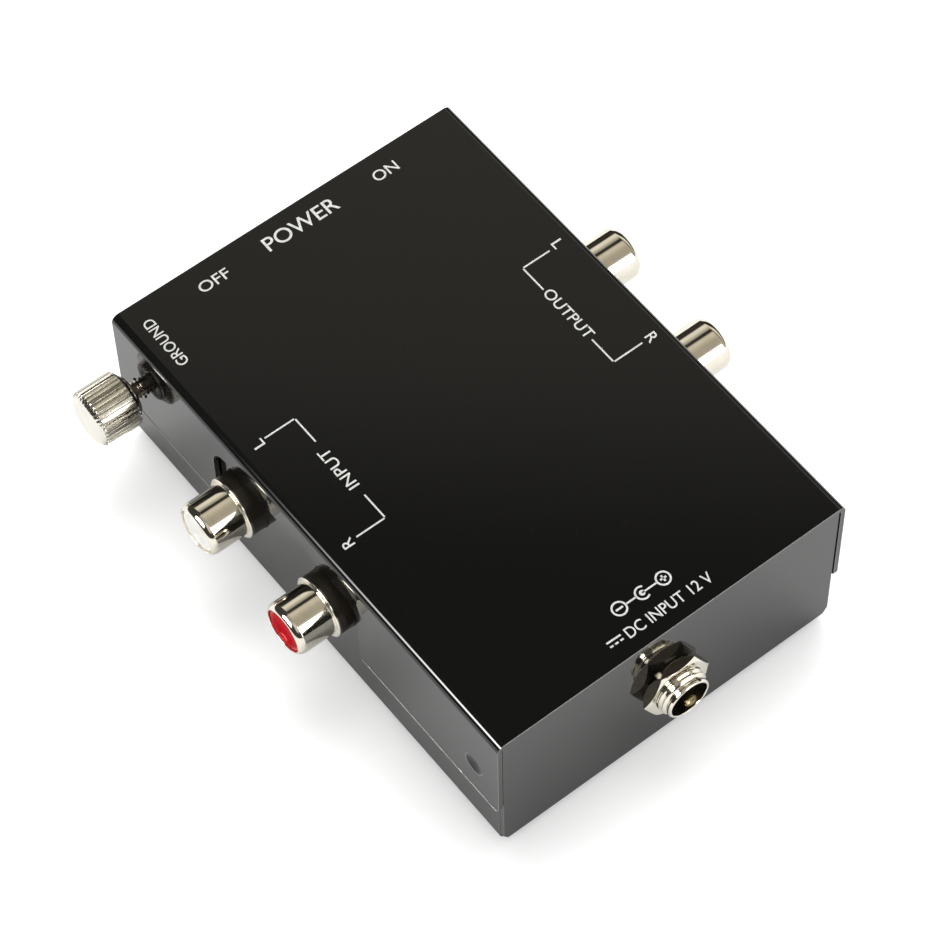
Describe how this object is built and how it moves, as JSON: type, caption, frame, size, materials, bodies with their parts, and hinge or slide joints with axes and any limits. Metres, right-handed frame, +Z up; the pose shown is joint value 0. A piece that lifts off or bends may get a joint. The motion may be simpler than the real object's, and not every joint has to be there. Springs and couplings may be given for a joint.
{
  "type": "phono preamp",
  "caption": "Small phono preamp in a folded black steel case: input jacks and a ground knob on one side, output jacks on the other, a supply socket at one end and a slide switch at the other",
  "frame": {"origin": "centre of the flat underside of the folded steel tray; the feet reach below it", "axes": "+Z up, the case's length along Y with the supply socket at -Y and the power switch at +Y, inputs at -X and outputs at +X"},
  "size_m": [0.0782, 0.0949, 0.0298],
  "materials": {
    "black_paint": "gloss",
    "black_rubber": "matte",
    "green_board": "satin",
    "zinc_steel": "satin",
    "nickel": "polished",
    "tinned_brass": "satin",
    "white_plastic": "gloss",
    "red_plastic": "gloss",
    "black_sleeving": "satin",
    "red_film": "gloss",
    "blue_resin": "gloss",
    "red_wire": "satin",
    "black_wire": "satin",
    "green_wire": "satin",
    "black_plastic": "satin"
  },
  "bodies": {
    "case": {"base_tray": "black_paint", "board_pillars": "zinc_steel", "board_screws": "zinc_steel", "circuit_board": "green_board", "dc_lock_washer": "zinc_steel", "dc_sleeve_lug": "tinned_brass", "dc_socket_barrel": "nickel", "dc_socket_body": "black_plastic", "dc_socket_nut": "nickel", "dc_socket_pin": "nickel", "film_capacitors": "red_film", "ground_clinch_nut": "zinc_steel", "ground_solder_lug": "tinned_brass", "ground_wire": "green_wire", "input_left_contact": "tinned_brass", "input_left_housing": "black_plastic", "input_left_insulator": "white_plastic", "input_left_shell": "nickel", "input_right_contact": "tinned_brass", "input_right_housing": "black_plastic", "input_right_insulator": "red_plastic", "input_right_shell": "nickel", "op_amp_leads": "tinned_brass", "op_amps": "black_plastic", "output_left_contact": "tinned_brass", "output_left_housing": "black_plastic", "output_left_insulator": "white_plastic", "output_left_shell": "nickel", "output_right_contact": "tinned_brass", "output_right_housing": "black_plastic", "output_right_insulator": "red_plastic", "output_right_shell": "nickel", "power_switch_base": "black_plastic", "power_switch_frame": "zinc_steel", "power_switch_terminals": "tinned_brass", "regulator_tab": "zinc_steel", "resistors": "blue_resin", "return_wire": "black_wire", "rubber_feet": "black_rubber", "signal_capacitors": "black_sleeving", "supply_capacitors": "black_sleeving", "supply_wire": "red_wire", "top_cover": "black_paint", "voltage_regulator": "black_plastic", "wire_header": "white_plastic"},
    "power_switch": {"power_switch_slider": "black_plastic", "power_switch_bridge": "tinned_brass"},
    "ground_clamp_ring": {"ground_washer": "nickel"},
    "ground_thumb_screw": {"ground_knob": "nickel", "ground_screw": "nickel"}
  },
  "joints": [
    {"name": "power_switch_slide", "type": "slide", "parent": "case", "child": "power_switch", "axis": [1, 0, 0], "range_m": [0, 0.004]},
    {"name": "ground_screw_travel", "type": "slide", "parent": "case", "child": "ground_clamp_ring", "axis": [1, 0, 0], "range_m": [-0.003, 0.00165]},
    {"name": "ground_screw_turn", "type": "hinge", "parent": "ground_clamp_ring", "child": "ground_thumb_screw", "pos_m": [-0.0324, 0.0386, 0.0169], "axis": [1, 0, 0], "range_deg": [-2232, 1224]}
  ],
  "couplings": [
    {"joint": "ground_screw_turn", "follows": "ground_screw_travel", "rad_per_m": 12566}
  ]
}
